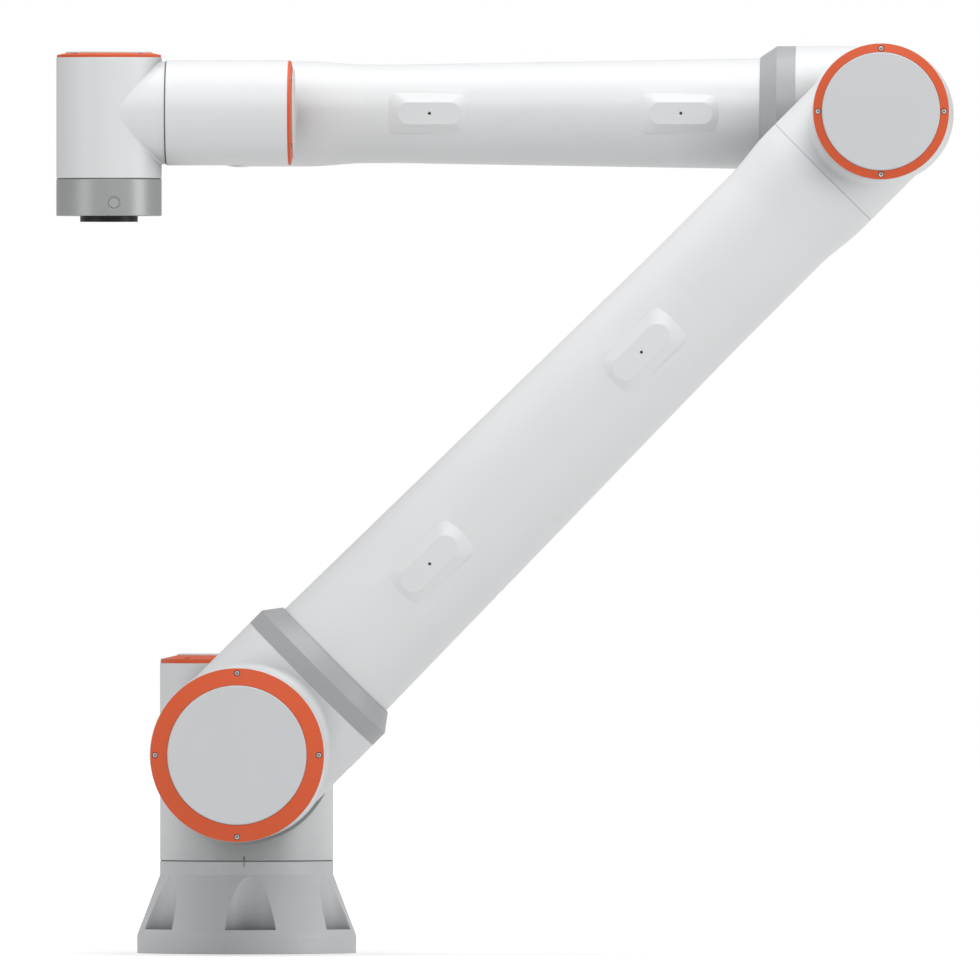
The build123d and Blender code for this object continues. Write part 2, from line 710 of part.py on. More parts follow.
forearm_spigot = forearm_tube_root - spigot_step
forearm_collar_end = forearm_branch_length + forearm_collar_length + collar_taper
with BuildPart() as forearm_collar:
    turn(
        across_forearm, (forearm_spigot, forearm_branch_length),
        (elbow_branch_radius, forearm_branch_length),
        (elbow_branch_radius, forearm_branch_length + forearm_collar_length),
        (forearm_collar_end_radius, forearm_collar_end), (forearm_spigot, forearm_collar_end),
    )
save(forearm_collar, "forearm_collar")

forearm_end = across_forearm.origin + across_forearm.z_dir * forearm_length
forearm_waist_end = forearm_length - forearm_flare_start
forearm_waist_start = forearm_waist_end - forearm_waist_run
forearm_root = (forearm_tube_root, forearm_collar_end)
forearm_waist = ((forearm_tube_waist, forearm_waist_start), (forearm_tube_waist, forearm_waist_end))
forearm_flare = (forearm_end_shell - crease_step, forearm_length - forearm_flare_end)
forearm_pads = (forearm_pad_near, forearm_length - forearm_pad_far)
forearm_pad_faces = pad_faces(across_forearm, forearm_pads, forearm_root, forearm_waist[0])
with BuildPart() as forearm_tube:
    tube_outline(across_forearm, forearm_root, forearm_waist, forearm_flare, forearm_length)
    pads(forearm_pad_faces, forearm_pad_top, forearm_pad_foot)
    housing(joint_4.seam, forearm_end_shell, half_gap, joint_4.barrel)
    round_crease(forearm_tube, forearm_end, forearm_end_shell, forearm_crease)
    rod(across_forearm, forearm_spigot - fit, forearm_branch_length, forearm_collar_end)
    turn(
        across_forearm, (0, forearm_branch_length), (forearm_spigot - tube_wall, forearm_branch_length),
        (forearm_tube_waist - tube_wall, forearm_waist_start),
        (forearm_tube_waist - tube_wall, forearm_length),
        (0, forearm_length), mode=Mode.SUBTRACT,
    )
    hollow_barrel(joint_4)
    pad_holes(forearm_pad_faces)
save(forearm_tube, "forearm_tube")

# Wrist
wrist_1_branch = wrist_setback - half_gap
with BuildPart() as wrist_1_housing:
    housing(joint_5.seam, small_shell, half_gap, joint_5.barrel)
    housing(across_wrist_1, small_branch_radius, 0, wrist_1_branch)
    round_crease(wrist_1_housing, across_wrist_1.origin, small_shell, wrist_crease)
    hollow_barrel(joint_5)
    branch_inside = small_branch_radius - small_wall
    bolted_end(across_wrist_1, branch_inside, wrist_1_branch, small_end_plate, small_drive.cable_radius)
save(wrist_1_housing, "wrist_1_housing")

wrist_2_branch = wrist_length - wrist_1_reach - half_gap
with BuildPart() as wrist_2_housing:
    housing(joint_6.seam, small_shell, half_gap, joint_6.barrel)
    housing(across_wrist_2, small_branch_radius, 0, wrist_2_branch)
    round_crease(wrist_2_housing, across_wrist_2.origin, small_shell, wrist_crease)
    hollow_barrel(joint_6)
    bolted_end(across_wrist_2, branch_inside, wrist_2_branch, small_end_plate, small_drive.cable_radius)
save(wrist_2_housing, "wrist_2_housing")

# Tool end, with heights below the seam of joint 6
tool_face = tool_drop - wrist_2_drop
ring_floor = tool_ring_height - tool_ring_wall
ring_inside = small_shell - tool_ring_wall
button_turn = radians(button_azimuth - quarter_turn)
button_direction = Vector(cos(button_turn), sin(button_turn), 0)
button_level = joint_6.seam.origin - Vector(0, 0, button_drop)
across_button = Plane(button_level, Vector(0, 0, 1), button_direction)
across_tool_socket = Plane(button_level, Vector(0, 0, 1), button_direction * -1)
socket_floor = small_shell - tool_socket_dish
plate_back = tool_flange_plate - ring_floor
with BuildPart() as tool_ring:
    housing(joint_6.seam, small_shell, -tool_ring_height, -half_gap)
    rod(joint_6.seam, ring_inside, -ring_floor, -half_gap - small_end_plate, Mode.SUBTRACT)
    rod(joint_6.seam, small_drive.cable_radius, -ring_floor, 0, Mode.SUBTRACT)
    rod(joint_6.seam, tool_flange_radius + fit, -tool_ring_height, -ring_floor, Mode.SUBTRACT)
    rod(across_button, button_radius + button_clearance, 0, small_shell, Mode.SUBTRACT)
    rod(across_button, button_dish_radius, small_shell - button_dish_depth, small_shell, Mode.SUBTRACT)
    rod(across_tool_socket, tool_socket_radius + fit, 0, small_shell, Mode.SUBTRACT)
    rod(across_tool_socket, tool_socket_collar + running, socket_floor, small_shell, Mode.SUBTRACT)
save(tool_ring, "tool_ring")

with BuildPart() as tool_flange:
    turn(
        joint_6.seam, (small_drive.cable_radius, -tool_face), (tool_flange_radius, -tool_face),
        (tool_flange_radius, -ring_floor), (tool_flange_shoulder, -ring_floor),
        (tool_flange_shoulder, plate_back), (small_drive.cable_radius, plate_back),
    )
    rod(joint_6.seam, tool_pilot_radius, -tool_face, tool_pilot_depth - tool_face, Mode.SUBTRACT)
    with BuildSketch(joint_6.seam.offset(-tool_face)):
        with PolarLocations(tool_bolt_circle, tool_bolt_count, tool_bolt_turn):
            Circle(tool_bolt_radius)
    extrude(amount=tool_bolt_depth, mode=Mode.SUBTRACT)
    with BuildSketch(joint_6.seam.offset(-tool_face)):
        with PolarLocations(tool_bolt_circle, 1, tool_dowel_turn):
            Circle(tool_dowel_radius)
    extrude(amount=tool_dowel_depth, mode=Mode.SUBTRACT)
save(tool_flange, "tool_flange")

button_stop = ring_inside - button_collar_gap
button_back = button_stop - button_collar_length
button_face = small_shell - button_rest_depth
with BuildPart() as push_button:
    turn(
        across_button, (0, button_back), (button_collar_radius, button_back),
        (button_collar_radius, button_stop), (button_radius, button_stop),
        (button_radius, button_face), (0, button_face),
    )
save(push_button, "push_button")

connector_back = ring_inside - tool_socket_tail
connector_collar_end = socket_floor + tool_socket_collar_length
connector_end = connector_collar_end + tool_socket_length
with BuildPart() as tool_connector:
    turn(
        across_tool_socket, (0, connector_back), (tool_socket_radius, connector_back),
        (tool_socket_radius, socket_floor), (tool_socket_collar, socket_floor),
        (tool_socket_collar, connector_collar_end), (tool_socket_radius, connector_collar_end),
        (tool_socket_radius, connector_end), (0, connector_end),
    )
save(tool_connector, "tool_connector")

# Covers, gears and motors, alike at every joint but for their sizes
for joint in joints:
    save(cover_ring(joint), f"joint_{joint.number}_cover_ring")
    save(cover_disc(joint), f"joint_{joint.number}_cover_disc")
    save(output_hub(joint), f"joint_{joint.number}_output_hub")
    save(gear_ring(joint), f"joint_{joint.number}_gear_ring")
    save(stator(joint), f"joint_{joint.number}_motor_stator")
    save(rotor(joint), f"joint_{joint.number}_motor_rotor")
save(cover_screws((joint_1,)), "shoulder_cover_screws")
save(cover_screws((joint_2, joint_3)), "upper_arm_cover_screws")
save(cover_screws((joint_4,)), "forearm_cover_screws")
save(cover_screws((joint_5,)), "wrist_1_cover_screws")
save(cover_screws((joint_6,)), "wrist_2_cover_screws")
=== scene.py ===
"""Looks of the six-axis robot arm: painted housings, moulded covers, turned tool end, studio."""

import json
import logging
from dataclasses import dataclass, field
from enum import Enum
from math import cos, radians, sin, tau

import bmesh
import bpy
from mathutils import Matrix, Vector

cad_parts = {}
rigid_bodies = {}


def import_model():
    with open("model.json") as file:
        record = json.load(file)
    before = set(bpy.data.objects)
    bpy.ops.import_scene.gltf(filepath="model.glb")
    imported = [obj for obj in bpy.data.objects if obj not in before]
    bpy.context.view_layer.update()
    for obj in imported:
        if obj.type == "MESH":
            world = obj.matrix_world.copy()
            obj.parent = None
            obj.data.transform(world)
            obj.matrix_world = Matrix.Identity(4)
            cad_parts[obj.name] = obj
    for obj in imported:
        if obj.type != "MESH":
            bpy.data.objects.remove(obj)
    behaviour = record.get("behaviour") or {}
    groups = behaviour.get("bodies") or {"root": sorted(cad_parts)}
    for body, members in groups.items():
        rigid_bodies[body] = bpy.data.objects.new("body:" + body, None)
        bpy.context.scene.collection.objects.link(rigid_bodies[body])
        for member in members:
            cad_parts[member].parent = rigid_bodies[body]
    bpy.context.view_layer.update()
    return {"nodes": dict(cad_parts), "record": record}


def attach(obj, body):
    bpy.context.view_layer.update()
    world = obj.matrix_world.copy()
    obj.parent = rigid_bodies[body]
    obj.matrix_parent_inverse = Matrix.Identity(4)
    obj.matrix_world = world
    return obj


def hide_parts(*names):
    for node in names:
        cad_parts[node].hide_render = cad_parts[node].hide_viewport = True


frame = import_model()
log = logging.getLogger("robot_arm")

MM = 0.001
SMOOTH_UP_TO = radians(30)  # faces that meet at less than this are shaded as one

Point = tuple[float, float, float]
Socket = bpy.types.NodeSocket
Tree = bpy.types.NodeTree


def linear(colour: str) -> tuple[float, float, float, float]:
    """Turn an sRGB hex colour into the linear colour that shaders take.

    Args:
        colour: six hex digits after a hash sign.

    Returns:
        Red, green, blue and an alpha of 1.
    """
    parts = [int(colour[i : i + 2], 16) / 255 for i in (1, 3, 5)]
    red, green, blue = (p / 12.92 if p <= 0.04045 else ((p + 0.055) / 1.055) ** 2.4 for p in parts)
    return red, green, blue, 1.0


def add(tree: Tree, kind: str, inputs: dict | None = None, **settings: object) -> bpy.types.Node:
    """Add a node with its settings, values and links.

    Args:
        tree: tree to add to.
        kind: full name of the node's type.
        inputs: socket name or number to a value, or to the socket that feeds it.
        settings: properties of the node itself.

    Returns:
        The new node.
    """
    node = tree.nodes.new(kind)
    for name, value in settings.items():
        setattr(node, name, value)
    for key, value in (inputs or {}).items():
        if isinstance(value, bpy.types.NodeSocket):
            tree.links.new(value, node.inputs[key])
        else:
            node.inputs[key].default_value = value
    return node


def empty_tree(owner: bpy.types.Material | bpy.types.World) -> Tree:
    """Switch a material or world to nodes and clear them.

    Args:
        owner: the material or world.

    Returns:
        Its empty node tree.
    """
    owner.use_nodes = True
    owner.node_tree.nodes.clear()
    return owner.node_tree


def frame_at(origin: Point, towards: Point) -> Matrix:
    """Give the frame that stands at a point with its z along a direction.

    Args:
        origin: the point.
        towards: direction of the frame's z.

    Returns:
        The frame's matrix.
    """
    turn = Vector(towards).to_track_quat("Z", "X").to_matrix().to_4x4()
    return Matrix.Translation(Vector(origin)) @ turn


class Grain(Enum):
    """How a surface was made, which sets the relief that catches the light."""

    POWDER = "powder"  # melted powder paint: soft orange peel
    CAST = "cast"  # textured paint over sand-cast metal: sharp little grains
    MOULDED = "moulded"  # spark-eroded mould: even fine leather
    TURNED = "turned"  # lathe marks in rings about an axis


@dataclass(frozen=True)
class Finish:
    """One finish of the arm: its colour, gloss and the relief left by how it was made, and on some
    finishes shade painted into corners and under overhangs.
    """

    name: str
    colour: str
    shade: str  # second colour of the slow, broad variation
    grain: Grain
    roughness: float
    roughness_spread: float = 0.06
    metallic: float = 0.0
    specular: float = 0.5
    shade_size: float = 90 * MM
    grain_size: float = 1.2 * MM
    grain_depth: float = 0.02 * MM
    edge: float = 0.9 * MM
    edge_samples: int = 6
    painted_shade_reach: float = 0.0  # how far the shade painted into corners and under overhangs reaches, 0 for none
    painted_shade_left: float = 0.3  # what is left of the colour where the painted shade is deepest
    painted_shade_deepest: float = 0.25  # openness at which the painted shade is deepest
    painted_shade_end: float = 0.9  # openness at which the painted shade ends
    painted_shade_samples: int = 12
    painted_shade_alone: bool = False  # whether only the piece itself casts its painted shade, and not the floor
    axis_point: Point = (0.0, 0.0, 0.0)
    axis_turn: Point = (0.0, 0.0, 0.0)

    def material(self) -> bpy.types.Material:
        """Build the material, or give the one built before.

        Returns:
            The material named for this finish.
        """
        made = bpy.data.materials.get(self.name)
        if made is not None:
            return made
        made = bpy.data.materials.new(self.name)
        tree = empty_tree(made)
        place = add(tree, "ShaderNodeTexCoord").outputs["Object"]
        height = self.height(tree, place)
        half_spread = self.roughness_spread / 2
        gloss = add(
            tree, "ShaderNodeMapRange",
            {
                "Value": height, "To Min": self.roughness - half_spread,
                "To Max": self.roughness + half_spread,
            },
        ).outputs["Result"]
        rounded = add(
            tree, "ShaderNodeBevel", {"Radius": self.edge}, samples=self.edge_samples,
        ).outputs["Normal"]
        relief = add(
            tree, "ShaderNodeBump",
            {"Height": height, "Distance": self.grain_depth, "Strength": 1.0, "Normal": rounded},
        ).outputs["Normal"]
        shader = add(
            tree, "ShaderNodeBsdfPrincipled",
            {
                "Base Color": self.tint(tree, place), "Roughness": gloss, "Metallic": self.metallic,
                "Normal": relief, "Specular IOR Level": self.specular,
            },
        ).outputs["BSDF"]
        add(tree, "ShaderNodeOutputMaterial", {"Surface": shader})
        return made

    def tint(self, tree: Tree, place: Socket) -> Socket:
        """Add the nodes of the colour: a slow variation, darkened by painted shade in corners and
        under overhangs.

        Args:
            tree: the material's node tree.
            place: Object coordinates.

        Returns:
            Socket with the colour.
        """
        spots = add(
            tree, "ShaderNodeTexNoise",
            {"Vector": place, "Scale": 1 / self.shade_size, "Detail": 4.0, "Roughness": 0.6},
        ).outputs["Fac"]
        mixed = add(
            tree, "ShaderNodeMix", {0: spots, 6: linear(self.colour), 7: linear(self.shade)},
            data_type="RGBA",
        ).outputs[2]
        if not self.painted_shade_reach:
            return mixed
        # painted shade: ambient occlusion darkens the colour in corners, creases and under overhangs
        openness = add(
            tree, "ShaderNodeAmbientOcclusion", {"Distance": self.painted_shade_reach},
            samples=self.painted_shade_samples, only_local=self.painted_shade_alone,
        ).outputs["AO"]
        left = add(
            tree, "ShaderNodeMapRange",
            {
                "Value": openness, "From Min": self.painted_shade_deepest, "From Max": self.painted_shade_end,
                "To Min": self.painted_shade_left,
            },
        ).outputs["Result"]
        return add(
            tree, "ShaderNodeVectorMath", {0: mixed, "Scale": left}, operation="SCALE",
        ).outputs["Vector"]

    def height(self, tree: Tree, place: Socket) -> Socket:
        """Add the nodes of the fine relief.

        Args:
            tree: the material's node tree.
            place: Object coordinates.

        Returns:
            Socket with the relief's height, from 0 to 1.
        """
        scale = 1 / self.grain_size
        if self.grain is Grain.CAST:
            return add(
                tree, "ShaderNodeTexVoronoi", {"Vector": place, "Scale": scale},
                feature="SMOOTH_F1",
            ).outputs["Distance"]
        if self.grain is Grain.TURNED:
            return add(
                tree, "ShaderNodeTexNoise",
                {"W": self.along_cut(tree, place), "Scale": scale, "Detail": 2.0},
                noise_dimensions="1D",
            ).outputs["Fac"]
        detail = 1.0 if self.grain is Grain.POWDER else 3.0
        return add(
            tree, "ShaderNodeTexNoise", {"Vector": place, "Scale": scale, "Detail": detail},
        ).outputs["Fac"]

    def along_cut(self, tree: Tree, place: Socket) -> Socket:
        """Add the nodes that tell how far the lathe's tool has gone along a section.

        Args:
            tree: the material's node tree.
            place: Object coordinates.

        Returns:
            Socket with the distance from the axis plus the height along it.
        """
        centred = add(
            tree, "ShaderNodeMapping",
            {"Vector": place, "Location": self.axis_point, "Rotation": self.axis_turn},
            vector_type="TEXTURE",
        ).outputs["Vector"]
        parts = add(tree, "ShaderNodeSeparateXYZ", {"Vector": centred}).outputs
        flat = add(
            tree, "ShaderNodeCombineXYZ", {"X": parts["X"], "Y": parts["Y"]},
        ).outputs["Vector"]
        radius = add(
            tree, "ShaderNodeVectorMath", {0: flat}, operation="LENGTH",
        ).outputs["Value"]
        return add(
            tree, "ShaderNodeMath", {0: radius, 1: parts["Z"]}, operation="ADD",
        ).outputs["Value"]


# Smooth powder coat over aluminium castings: soft sheen, faint orange peel. The real waves are
# about 1 mm across; they are drawn at 2.4 mm so that they show.
# Painted shade: the colour is darkened deeply in its corners and under overhangs.
WHITE_COAT = Finish(
    "powder_coat_light_grey", "#E0E1E2", "#DBDDDE", Grain.POWDER, 0.36,
    grain_size=2.4 * MM, grain_depth=0.012 * MM, painted_shade_reach=160 * MM, painted_shade_left=0.12,
)
# The same coat on the drawn tubes: a little glossier, its waves a little longer, and with lighter
# painted shade in the corners, since nothing hangs over a tube
TUBE_COAT = Finish(
    "powder_coat_tube", "#E0E1E2", "#DCDEDF", Grain.POWDER, 0.33,
    grain_size=2.8 * MM, grain_depth=0.012 * MM, painted_shade_reach=120 * MM, painted_shade_left=0.5,
)
# Satin wet paint on turned aluminium: a darker grey with a fine, even gloss
COLLAR_PAINT = Finish(
    "satin_paint_grey", "#A6A8AA", "#A1A3A5", Grain.POWDER, 0.38,
    grain_size=2.0 * MM, grain_depth=0.01 * MM,
)
# Textured powder coat on the sand-cast base: duller, with grains that sparkle at a low light
# angle. The real grains are about 0.8 mm; they are drawn at 2 mm so that they show.
# Painted shade: its pockets and corners are darkened, shaded by the base alone.
CAST_COAT = Finish(
    "cast_base_textured_coat", "#D2D4D6", "#C7C9CB", Grain.CAST, 0.45, roughness_spread=0.3,
    grain_size=2.0 * MM, grain_depth=0.24 * MM, edge=1.8 * MM,
    painted_shade_reach=55 * MM, painted_shade_left=0.22, painted_shade_alone=True,
)
# Moulded ABS in orange: satin, with the mould's fine grain, and shade painted into its narrow
# corners round the screws
ORANGE_ABS = Finish(
    "abs_orange", "#DA5E37", "#D35831", Grain.MOULDED, 0.5, specular=0.3,
    grain_size=1.6 * MM, grain_depth=0.02 * MM, edge=0.5 * MM,
    painted_shade_reach=3.5 * MM, painted_shade_left=0.1,
)
# Moulded ABS in light grey: matter than the housings
DISC_ABS = Finish(
    "abs_light_grey", "#CFD1D3", "#CACCCE", Grain.MOULDED, 0.5,
    grain_size=1.6 * MM, grain_depth=0.02 * MM, edge=0.6 * MM,
)
# Moulded ABS in mid grey: the push button's smoother mould gives it a soft gloss
BUTTON_ABS = Finish(
    "abs_mid_grey", "#A3A8A7", "#9DA2A1", Grain.MOULDED, 0.4,
    grain_size=1.2 * MM, grain_depth=0.01 * MM, edge=0.4 * MM,
)
TOOL_AXIS = (-0.144964, -0.180, 0.82)  # a point on joint 6's axis, in the tool ring
# Turned and satin-anodised aluminium: streaks from the lathe run round it
TOOL_RING_METAL = Finish(
    "anodised_aluminium_turned", "#A8ACAB", "#9A9E9D", Grain.TURNED, 0.4,
    roughness_spread=0.2, metallic=0.55, grain_size=0.9 * MM, grain_depth=0.02 * MM,
    edge=0.5 * MM, axis_point=TOOL_AXIS,
)
# Black anodised aluminium: deep grey with a soft edge glint
FLANGE_METAL = Finish(
    "anodised_aluminium_black", "#1C1D1E", "#222324", Grain.TURNED, 0.42,
    roughness_spread=0.12, metallic=0.6, grain_size=0.7 * MM, grain_depth=0.01 * MM,
    edge=0.4 * MM, axis_point=TOOL_AXIS,
)
# Zinc-plated steel: bright little screw heads, with shade painted dark into their sockets
SCREW_STEEL = Finish(
    "zinc_plated_steel", "#F2F2F0", "#E2E3E4", Grain.POWDER, 0.35, metallic=0.6,
    grain_size=0.8 * MM, grain_depth=0.01 * MM, edge=0.3 * MM,
    painted_shade_reach=3 * MM, painted_shade_left=0.02,
)
# Nickel-plated brass of the cable connectors: warm grey and nearly a mirror
NICKEL = Finish(
    "nickel_plated_brass", "#B9B6AE", "#A9A69E", Grain.POWDER, 0.24, metallic=1.0,
    grain_size=1.5 * MM, grain_depth=0.006 * MM, edge=0.3 * MM,
)
# Glass-filled nylon of the connectors' inserts: nearly black and dull
NYLON = Finish(
    "nylon_black", "#1B1C1D", "#232425", Grain.MOULDED, 0.6,
    grain_size=0.9 * MM, grain_depth=0.02 * MM, edge=0.2 * MM,
)
# Gold-plated brass contact pins: yellow and shiny
GOLD = Finish(
    "gold_plated_pins", "#D8B25A", "#C7A04B", Grain.POWDER, 0.22, metallic=1.0,
    grain_size=0.6 * MM, grain_depth=0.003 * MM, edge=0.1 * MM,
)
# Nitrile rubber lip seals in the joint seams: matt mid grey, so that a seam shows as a fine line
SEAL_RUBBER = Finish(
    "nitrile_rubber_grey", "#7C7E80", "#747678", Grain.MOULDED, 0.7,
    grain_size=1.0 * MM, grain_depth=0.01 * MM, edge=0.1 * MM,
)


@dataclass(frozen=True)
class JointPlace:
    """Where one joint stands: its seam's centre and the direction towards its cover."""

    number: int
    seam: Point
    towards: Point
    shell: float  # radius of the housings at the seam
    holder: str  # body that carries the joint's motor

    def matrix(self) -> Matrix:
        """Give the seam's frame, its z along the joint's axis and towards the cover."""
        return frame_at(self.seam, self.towards)


JOINTS = (
    JointPlace(1, (0, 0, 0.1013), (0, 0, 1), 0.095, "shoulder"),
    JointPlace(2, (0, -0.104, 0.219), (0, -1, 0), 0.095, "upper_arm"),
    JointPlace(3, (0.700036, -0.126, 0.919036), (0, -1, 0), 0.0744, "upper_arm"),
    JointPlace(4, (-0.007964, -0.114, 0.919036), (0, 1, 0), 0.058, "forearm"),
    JointPlace(5, (-0.082464, -0.180, 0.919036), (1, 0, 0), 0.0575, "wrist_1"),
    JointPlace(6, (-0.144964, -0.180, 0.847036), (0, 0, 1), 0.0575, "wrist_2"),
)


def mesh_piece(
    name: str, mesh: bpy.types.Mesh, finish: Finish, body: str,
) -> bpy.types.Object:
    """Make a finished mesh a piece of the arm.

    Args:
        name: name of the piece.
        mesh: its mesh, already in place.
        finish: its finish.
        body: the body that it moves with.

    Returns:
        The piece.
    """
    mesh.name = name
    if not mesh.materials:
        mesh.materials.append(finish.material())
    piece = bpy.data.objects.new(name, mesh)
    bpy.context.scene.collection.objects.link(piece)
    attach(piece, body)
    log.info("piece %s: %d faces", name, len(mesh.polygons))
    return piece


def lathe(profile: list[tuple[float, float]], place: Matrix, steps: int = 72) -> bpy.types.Mesh:
    """Turn a closed profile about an axis.

    Args:
        profile: (radius, height) corners in metres, round the section; 0 lies on the axis.
        place: frame whose z is the axis.
        steps: divisions of the full turn.

    Returns:
        The closed mesh, its faces outwards, smooth where the corners are slight.
    """
    shape = bmesh.new()
    rings = []
    for radius, height in profile:
        turns = [tau * i / steps for i in range(steps)] if radius else [0.0]
        rings.append([shape.verts.new((radius * cos(t), radius * sin(t), height)) for t in turns])
    for first, second in zip(rings, rings[1:] + rings[:1]):
        for i in range(steps):
            j = (i + 1) % steps
            corners = [
                first[i % len(first)], first[j % len(first)],
                second[j % len(second)], second[i % len(second)],
            ]
            unique = list(dict.fromkeys(corners))
            if len(unique) > 2:
                shape.faces.new(unique)
    bmesh.ops.recalc_face_normals(shape, faces=shape.faces)
    for face in shape.faces:
        face.smooth = True
    for edge in shape.edges:
        edge.smooth = len(edge.link_faces) < 2 or edge.calc_face_angle() < SMOOTH_UP_TO
    mesh = bpy.data.meshes.new("turned")
    shape.to_mesh(mesh)
    shape.free()
    mesh.transform(place)
    return mesh


def start_tree(name: str, inputs: dict[str, float]) -> Tree:
    """Start a geometry node tree with one geometry output and named inputs.

    Args:
        name: name of the tree.
        inputs: name of each input to its value until a modifier sets another.

    Returns:
        The tree, still without nodes.
    """
    tree = bpy.data.node_groups.new(name, "GeometryNodeTree")
    tree.interface.new_socket("Geometry", in_out="OUTPUT", socket_type="NodeSocketGeometry")
    for label, value in inputs.items():
        kind = "NodeSocketInt" if isinstance(value, int) else "NodeSocketFloat"
        socket = tree.interface.new_socket(label, in_out="INPUT", socket_type=kind)
        socket.default_value = value
    return tree


def end_tree(tree: Tree, geometry: Socket, finish: Finish) -> Tree:
    """End a geometry node tree: real geometry, dressed, at its output.

    Args:
        tree: the tree.
        geometry: socket with what it has made.
        finish: finish of the geometry.

    Returns:
        The tree.
    """
    real = add(tree, "GeometryNodeRealizeInstances", {"Geometry": geometry})
    dressed = add(
        tree, "GeometryNodeSetMaterial",
        {"Geometry": real.outputs["Geometry"], "Material": finish.material()},
    )
    add(tree, "NodeGroupOutput", {"Geometry": dressed.outputs["Geometry"]})
    return tree


def run_tree(tree: Tree, values: dict[str, float]) -> bpy.types.Mesh:
    """Run a geometry node tree and keep its result as a plain mesh.

    Args:
        tree: the tree, which makes its geometry from its inputs alone.
        values: input name to value.

    Returns:
        The mesh that the tree makes.
    """
    carrier = bpy.data.objects.new("carrier", bpy.data.meshes.new("carrier"))
    bpy.context.scene.collection.objects.link(carrier)
    modifier = carrier.modifiers.new("nodes", "NODES")
    modifier.node_group = tree
    names = {s.name: s.identifier for s in tree.interface.items_tree if s.in_out == "INPUT"}
    for name, value in values.items():
        modifier[names[name]] = value
    graph = bpy.context.evaluated_depsgraph_get()
    mesh = bpy.data.meshes.new_from_object(carrier.evaluated_get(graph))
    bpy.data.objects.remove(carrier)
    return mesh


def ring_of_rods_tree(finish: Finish) -> Tree:
    """Build the tree that stands round rods on a circle, such as a connector's pins.

    Args:
        finish: finish of the rods.

    Returns:
        The tree, with inputs for count, circle radius, rod radius and rod length.
    """
    rod_sides = 16
    tree = start_tree(
        "ring_of_rods",
        {"Count": 6, "Circle Radius": 5 * MM, "Rod Radius": 0.5 * MM, "Rod Length": 4 * MM},
    )
    given = add(tree, "NodeGroupInput").outputs
    circle = add(
        tree, "GeometryNodeMeshCircle",
        {"Vertices": given["Count"], "Radius": given["Circle Radius"]},
    )
    rod = add(
        tree, "GeometryNodeMeshCylinder",
        {"Vertices": rod_sides, "Radius": given["Rod Radius"], "Depth": given["Rod Length"]},
    )
    stood = add(
        tree, "GeometryNodeInstanceOnPoints",
        {"Points": circle.outputs["Mesh"], "Instance": rod.outputs["Mesh"]},
    )
    return end_tree(tree, stood.outputs["Instances"], finish)


def thread_tree(finish: Finish) -> Tree:
    """Build the tree of a screw thread: one helical ridge with a pointed section.

    Args:
        finish: finish of the ridge.

    Returns:
        The tree, with inputs for radius, pitch, turns and ridge height.
    """
    steps_a_turn, ridge_corners = 32, 3
    tree = start_tree(
        "screw_thread", {"Radius": 5 * MM, "Pitch": 1 * MM, "Turns": 5.0, "Ridge": 0.3 * MM},
    )
    given = add(tree, "NodeGroupInput").outputs
    length = add(
        tree, "ShaderNodeMath", {0: given["Pitch"], 1: given["Turns"]}, operation="MULTIPLY",
    ).outputs[0]
    helix = add(
        tree, "GeometryNodeCurveSpiral",
        {
            "Resolution": steps_a_turn, "Rotations": given["Turns"], "Start Radius": given["Radius"],
            "End Radius": given["Radius"], "Height": length,
        },
    )
    section = add(
        tree, "GeometryNodeCurvePrimitiveCircle",
        {"Resolution": ridge_corners, "Radius": given["Ridge"]},
    )
    ridge = add(
        tree, "GeometryNodeCurveToMesh",
        {
            "Curve": helix.outputs["Curve"], "Profile Curve": section.outputs["Curve"],
            "Fill Caps": True,
        },
    )
    return end_tree(tree, ridge.outputs["Mesh"], finish)


@dataclass
class Castings:
    """Dresses the solids that came from the frame with their finishes."""

    finishes: dict[str, Finish] = field(default_factory=lambda: {
        "shell_white": WHITE_COAT,
        "tube_white": TUBE_COAT,
        "collar_grey": COLLAR_PAINT,
        "base_grey": CAST_COAT,
        "cover_orange": ORANGE_ABS,
        "disc_grey": DISC_ABS,
        "tool_ring_grey": TOOL_RING_METAL,
        "tool_flange_black": FLANGE_METAL,
        "button_grey": BUTTON_ABS,
        "connector_steel": NICKEL,
        "screw_steel": SCREW_STEEL,
    })
    # Metals of the drives: name and two colours. All are turned, so that rings of fine streaks
    # run round the joint's axis: grey gear steel, brown copper windings, darker rotor steel.
    drive_metals: dict[str, tuple[str, str, str]] = field(default_factory=lambda: {
        "gear_steel": ("ground_gear_steel", "#A9AAAC", "#9C9EA0"),
        "winding": ("copper_windings", "#A8663C", "#8E5431"),
        "rotor_steel": ("turned_rotor_steel", "#8E9093", "#7E8184"),
    })

    def dress(self) -> None:
        """Give every solid of the frame the finish of its slot."""
        for part in frame["record"]["subparts"]:
            finish = self.finish_of(part["node"], part["material_slot"])
            node = frame["nodes"][part["node"]]
            for carrier in (node, *node.children_recursive):
                if carrier.type == "MESH":
                    for material_slot in carrier.material_slots:
                        material_slot.material = finish.material()
            log.info("solid %s: %s", part["node"], finish.name)

    def finish_of(self, node: str, slot: str) -> Finish:
        """Choose a solid's finish; a drive's rings are turned about their own joint's axis.

        Args:
            node: name of the solid's node.
            slot: its material slot.

        Returns:
            The finish.
        """
        if slot in self.finishes:
            return self.finishes[slot]
        joint = JOINTS[int(node.split("_")[1]) - 1]
        name, colour, shade = self.drive_metals[slot]
        turn = Vector(joint.towards).to_track_quat("Z", "X").to_euler()
        return Finish(
            f"{name}_{joint.number}", colour, shade, Grain.TURNED, 0.34, roughness_spread=0.16,
            metallic=1.0, grain_size=0.8 * MM, edge=0.3 * MM,
            axis_point=joint.seam, axis_turn=tuple(turn),
        )


